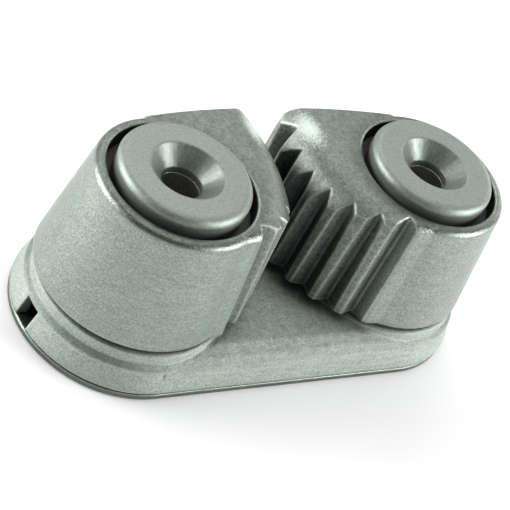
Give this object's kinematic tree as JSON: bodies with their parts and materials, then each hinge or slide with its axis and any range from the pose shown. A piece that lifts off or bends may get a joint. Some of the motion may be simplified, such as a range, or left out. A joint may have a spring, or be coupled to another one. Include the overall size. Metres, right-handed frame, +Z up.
{
  "type": "cam cleat",
  "caption": "Rope cleat with two sprung, toothed eccentric cams turning on ball bearings over an oblong two-screw base.",
  "frame": {"origin": "centre of the bottom plate's underside, midway between the two screw holes", "axes": "+X along the row of screw holes, +Y towards the noses of the cams (the rope's tail), +Z up out of the deck"},
  "size_m": [0.0664, 0.0286, 0.0261],
  "materials": {
    "base_metal": "satin anodised casting",
    "plate_metal": "dull rolled sheet",
    "cam_metal": "satin anodised casting",
    "cap_metal": "fine turned satin",
    "post_steel": "turned",
    "ball_steel": "polished",
    "bearing_plastic": "moulded",
    "spring_steel": "drawn wire",
    "pin_steel": "ground",
    "black_plastic": "moulded"
  },
  "bodies": {
    "base": {"base_body": "base_metal", "bottom_plate": "plate_metal", "port_cap": "cap_metal", "port_sleeve": "post_steel", "port_thrust_washer": "black_plastic", "port_stop_pin": "pin_steel", "port_spring": "spring_steel", "starboard_cap": "cap_metal", "starboard_sleeve": "post_steel", "starboard_thrust_washer": "black_plastic", "starboard_stop_pin": "pin_steel", "starboard_spring": "spring_steel"},
    "port_cam": {"port_cam": "cam_metal", "port_dust_shield": "black_plastic"},
    "port_upper_bearing": {"port_upper_cage": "bearing_plastic", "port_upper_balls": "ball_steel"},
    "port_lower_bearing": {"port_lower_cage": "bearing_plastic", "port_lower_balls": "ball_steel"},
    "starboard_cam": {"starboard_cam": "cam_metal", "starboard_dust_shield": "black_plastic"},
    "starboard_upper_bearing": {"starboard_upper_cage": "bearing_plastic", "starboard_upper_balls": "ball_steel"},
    "starboard_lower_bearing": {"starboard_lower_cage": "bearing_plastic", "starboard_lower_balls": "ball_steel"}
  },
  "joints": [
    {"name": "port_cam_pivot", "type": "hinge", "parent": "base", "child": "port_cam", "pos_m": [-0.019, 0, 0], "axis": [0, 0, 1], "range_deg": [0, 65], "stiffness_Nm_per_rad": 0.06, "springref_deg": -34.95, "deforming": ["port_spring"]},
    {"name": "port_upper_bearing_roll", "type": "hinge", "parent": "base", "child": "port_upper_bearing", "pos_m": [-0.019, 0, 0], "axis": [0, 0, 1], "range_deg": [0, 40.3]},
    {"name": "port_lower_bearing_roll", "type": "hinge", "parent": "base", "child": "port_lower_bearing", "pos_m": [-0.019, 0, 0], "axis": [0, 0, 1], "range_deg": [0, 40.3]},
    {"name": "starboard_cam_pivot", "type": "hinge", "parent": "base", "child": "starboard_cam", "pos_m": [0.019, 0, 0], "axis": [0, 0, 1], "range_deg": [-65, 0], "stiffness_Nm_per_rad": 0.06, "springref_deg": 34.95, "deforming": ["starboard_spring"]},
    {"name": "starboard_upper_bearing_roll", "type": "hinge", "parent": "base", "child": "starboard_upper_bearing", "pos_m": [0.019, 0, 0], "axis": [0, 0, 1], "range_deg": [-40.3, 0]},
    {"name": "starboard_lower_bearing_roll", "type": "hinge", "parent": "base", "child": "starboard_lower_bearing", "pos_m": [0.019, 0, 0], "axis": [0, 0, 1], "range_deg": [-40.3, 0]}
  ],
  "couplings": [
    {"joint": "port_upper_bearing_roll", "follows": "port_cam_pivot", "ratio": 0.6087},
    {"joint": "port_lower_bearing_roll", "follows": "port_cam_pivot", "ratio": 0.6087},
    {"joint": "starboard_upper_bearing_roll", "follows": "starboard_cam_pivot", "ratio": 0.6087},
    {"joint": "starboard_lower_bearing_roll", "follows": "starboard_cam_pivot", "ratio": 0.6087}
  ]
}
